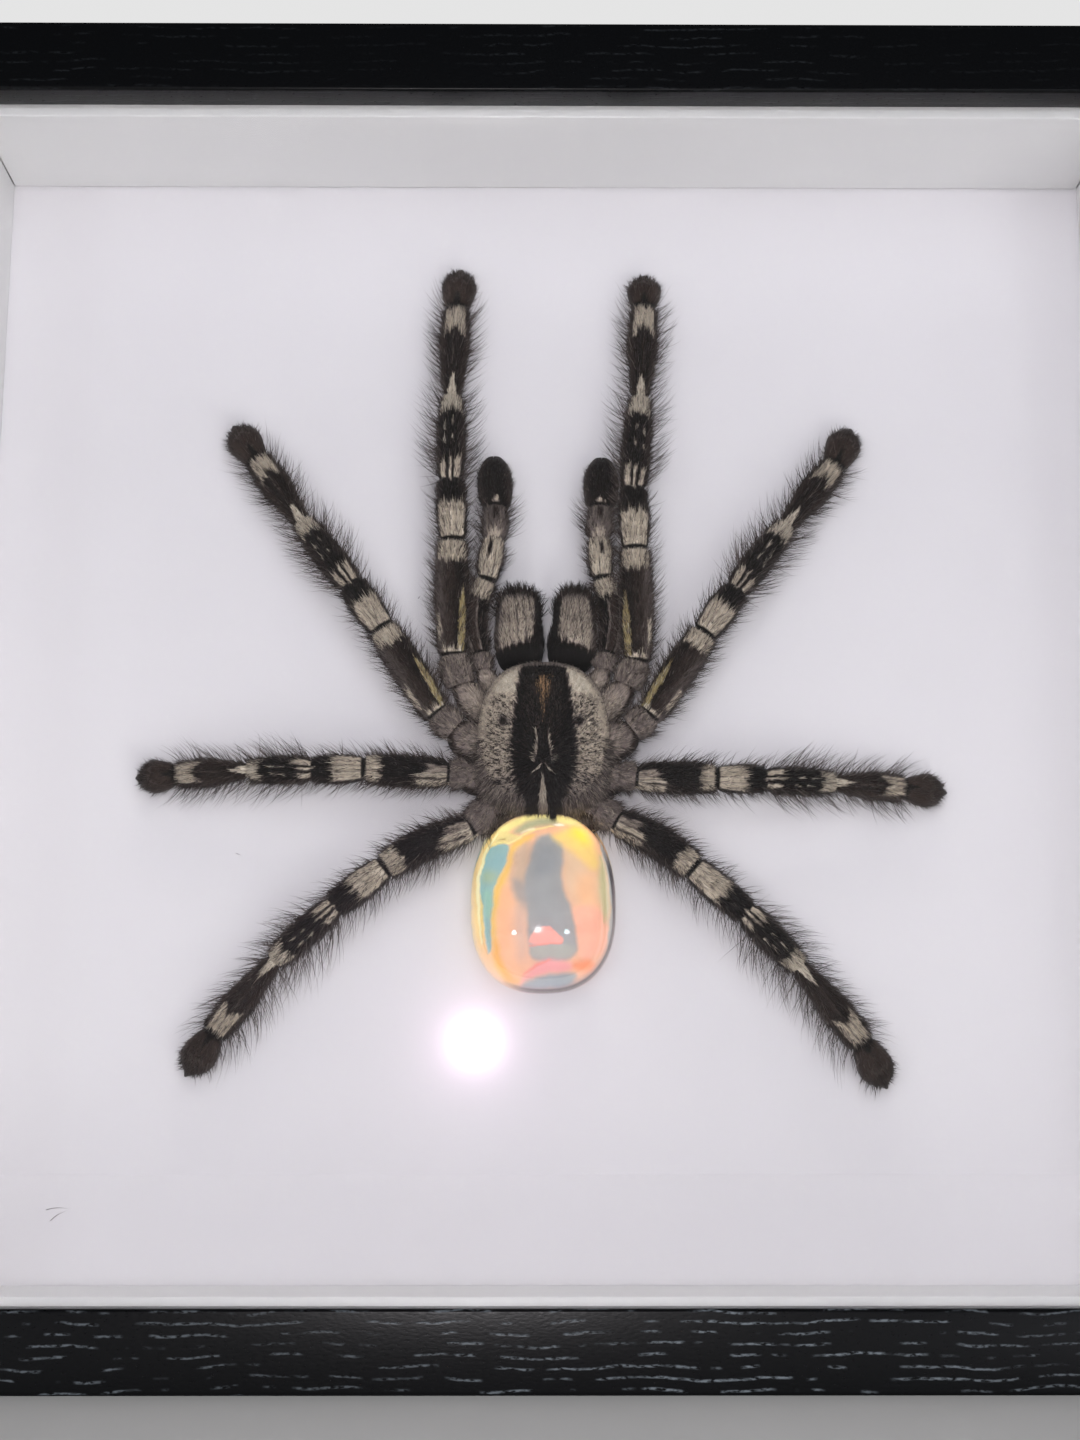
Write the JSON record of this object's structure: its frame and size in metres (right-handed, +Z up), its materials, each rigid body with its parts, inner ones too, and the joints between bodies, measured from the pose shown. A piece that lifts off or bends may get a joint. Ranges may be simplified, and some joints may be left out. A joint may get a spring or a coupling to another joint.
{
  "type": "framed tarantula specimen",
  "caption": "Deep black box frame with a spread, banded tree spider on a white board behind glass; a polished iridescent glass cabochon stands in for its abdomen.",
  "frame": {"origin": "middle of the footprint at the lowest point, with the frame upright on its bottom rail", "axes": "+Z up along the spider from its stone to its jaws, -Y out of the glass, +X to the right seen from the front"},
  "size_m": [0.25, 0.0472, 0.25],
  "materials": {
    "black_stained_wood": "satin black stain over open grain",
    "clear_glass": "clear polished float glass",
    "white_liner_board": "matt white foil on board",
    "white_mount_board": "matt off-white card",
    "brown_hardboard": "pressed hardboard, smooth side out",
    "zinc_plated_steel": "dull zinc plate",
    "brass_plated_steel": "bright brass plate",
    "carapace_fur": "short tan fur with a black middle band",
    "chelicera_fur": "combed grey-brown fur",
    "banded_leg_fur": "black fur with cream bands",
    "iridescent_glass": "polished cabochon with an iridescent coat"
  },
  "bodies": {
    "root": {"back_panel": "brown_hardboard", "cephalothorax": "carapace_fur", "chelicera_left": "chelicera_fur", "chelicera_right": "chelicera_fur", "glass_abdomen": "iridescent_glass", "glazier_point_1": "zinc_plated_steel", "glazier_point_2": "zinc_plated_steel", "glazier_point_3": "zinc_plated_steel", "glazier_point_4": "zinc_plated_steel", "glazier_point_5": "zinc_plated_steel", "glazier_point_6": "zinc_plated_steel", "glazier_point_7": "zinc_plated_steel", "glazier_point_8": "zinc_plated_steel", "glazing_pane": "clear_glass", "hanger_nail_left": "brass_plated_steel", "hanger_nail_right": "brass_plated_steel", "leg_1_left": "banded_leg_fur", "leg_1_right": "banded_leg_fur", "leg_2_left": "banded_leg_fur", "leg_2_right": "banded_leg_fur", "leg_3_left": "banded_leg_fur", "leg_3_right": "banded_leg_fur", "leg_4_left": "banded_leg_fur", "leg_4_right": "banded_leg_fur", "liner_bottom": "white_liner_board", "liner_left": "white_liner_board", "liner_right": "white_liner_board", "liner_top": "white_liner_board", "mount_board": "white_mount_board", "pedipalp_left": "banded_leg_fur", "pedipalp_right": "banded_leg_fur", "rail_bottom": "black_stained_wood", "rail_left": "black_stained_wood", "rail_right": "black_stained_wood", "rail_top": "black_stained_wood", "sawtooth_hanger": "brass_plated_steel"}
  },
  "joints": []
}
